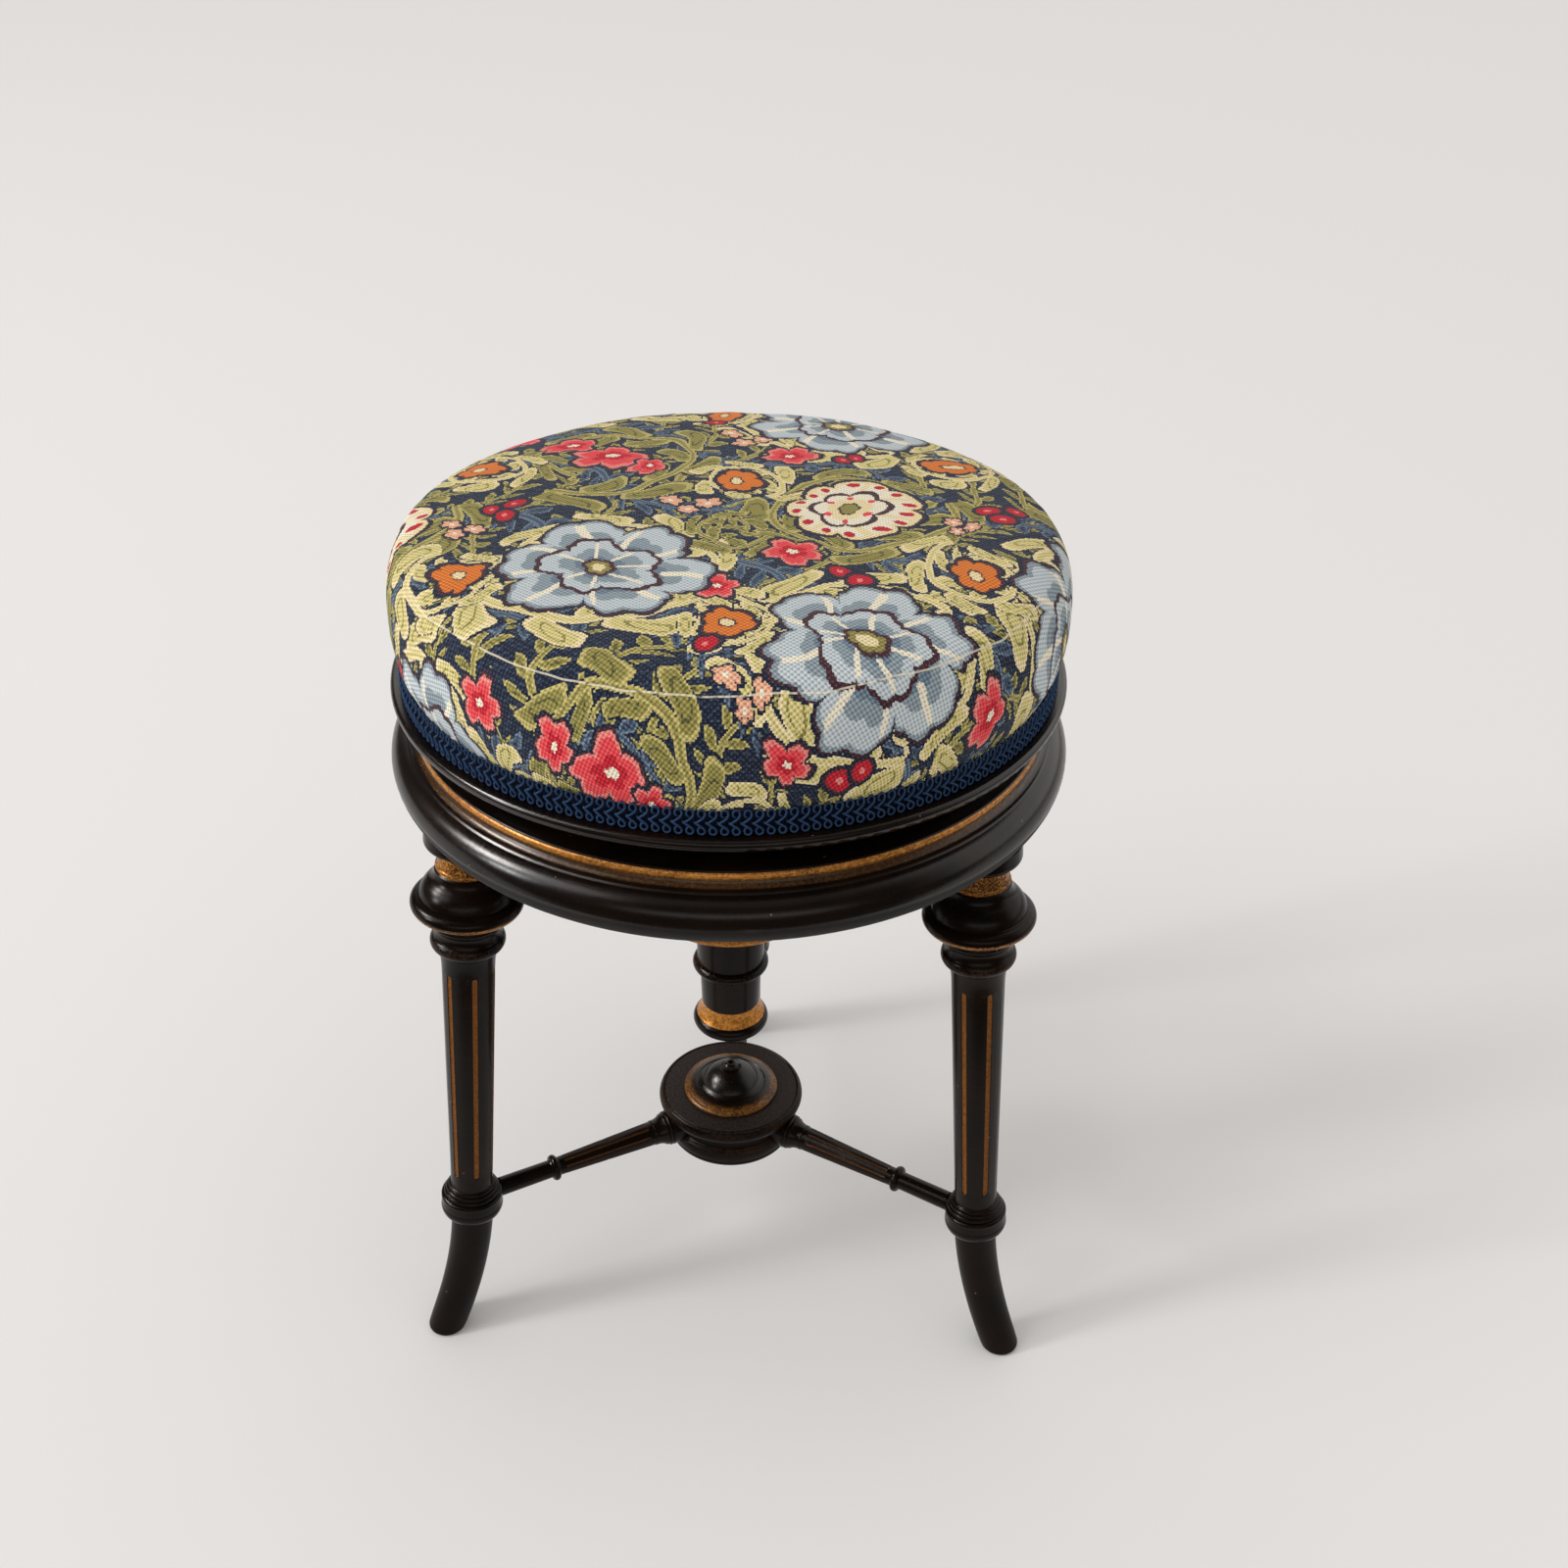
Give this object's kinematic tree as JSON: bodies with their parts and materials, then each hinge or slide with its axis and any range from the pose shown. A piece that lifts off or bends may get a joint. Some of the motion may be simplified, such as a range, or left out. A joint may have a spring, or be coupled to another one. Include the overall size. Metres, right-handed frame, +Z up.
{
  "type": "piano stool",
  "caption": "Round upholstered screw stool: domed cloth seat on a threaded spindle, turned frame ring, fluted legs, hub stretchers.",
  "frame": {"origin": "on the floor, under the axis of the screw", "axes": "+Z up along the screw; the user faces +Y, with one leg at the back and two in front"},
  "size_m": [0.3628, 0.3832, 0.4952],
  "materials": {
    "ebonised_wood": "satin black lacquer, worn, with gilt lines",
    "gilt_wood": "black lacquer with a worn gilt rim",
    "bare_wood": "unfinished",
    "woven_cloth": "ribbed floral weave on a navy ground",
    "stuffing": "horsehair and wadding",
    "braid": "matt navy gimp",
    "iron": "oiled iron"
  },
  "bodies": {
    "frame": {"screw_nut": "iron", "nut_screws": "iron", "base_top": "ebonised_wood", "boss": "ebonised_wood", "boss_screws": "iron", "leg_left": "ebonised_wood", "foot_left": "ebonised_wood", "stretcher_left": "ebonised_wood", "leg_right": "ebonised_wood", "foot_right": "ebonised_wood", "stretcher_right": "ebonised_wood", "leg_back": "ebonised_wood", "foot_back": "ebonised_wood", "stretcher_back": "ebonised_wood", "foot_dowels": "bare_wood", "stretcher_hub": "ebonised_wood", "hub_dome": "gilt_wood", "hub_button": "ebonised_wood"},
    "screw_stop": {"stop_washer": "iron"},
    "seat": {"seat_cover": "woven_cloth", "seat_stuffing": "stuffing", "gimp_braid": "braid", "cover_tacks": "iron", "seat_board": "ebonised_wood", "seat_plate": "iron", "plate_screws": "iron", "spindle": "iron", "spindle_end_screw": "iron"}
  },
  "joints": [
    {"name": "seat_rise", "type": "slide", "parent": "frame", "child": "screw_stop", "axis": [0, 0, 1], "range_m": [0, 0.1]},
    {"name": "seat_spin", "type": "hinge", "parent": "screw_stop", "child": "seat", "pos_m": [0, 0, 0.35], "axis": [0, 0, 1], "range_deg": [0, 4500]}
  ],
  "couplings": [
    {"joint": "seat_rise", "follows": "seat_spin", "m_per_rad": 0.0012732}
  ]
}
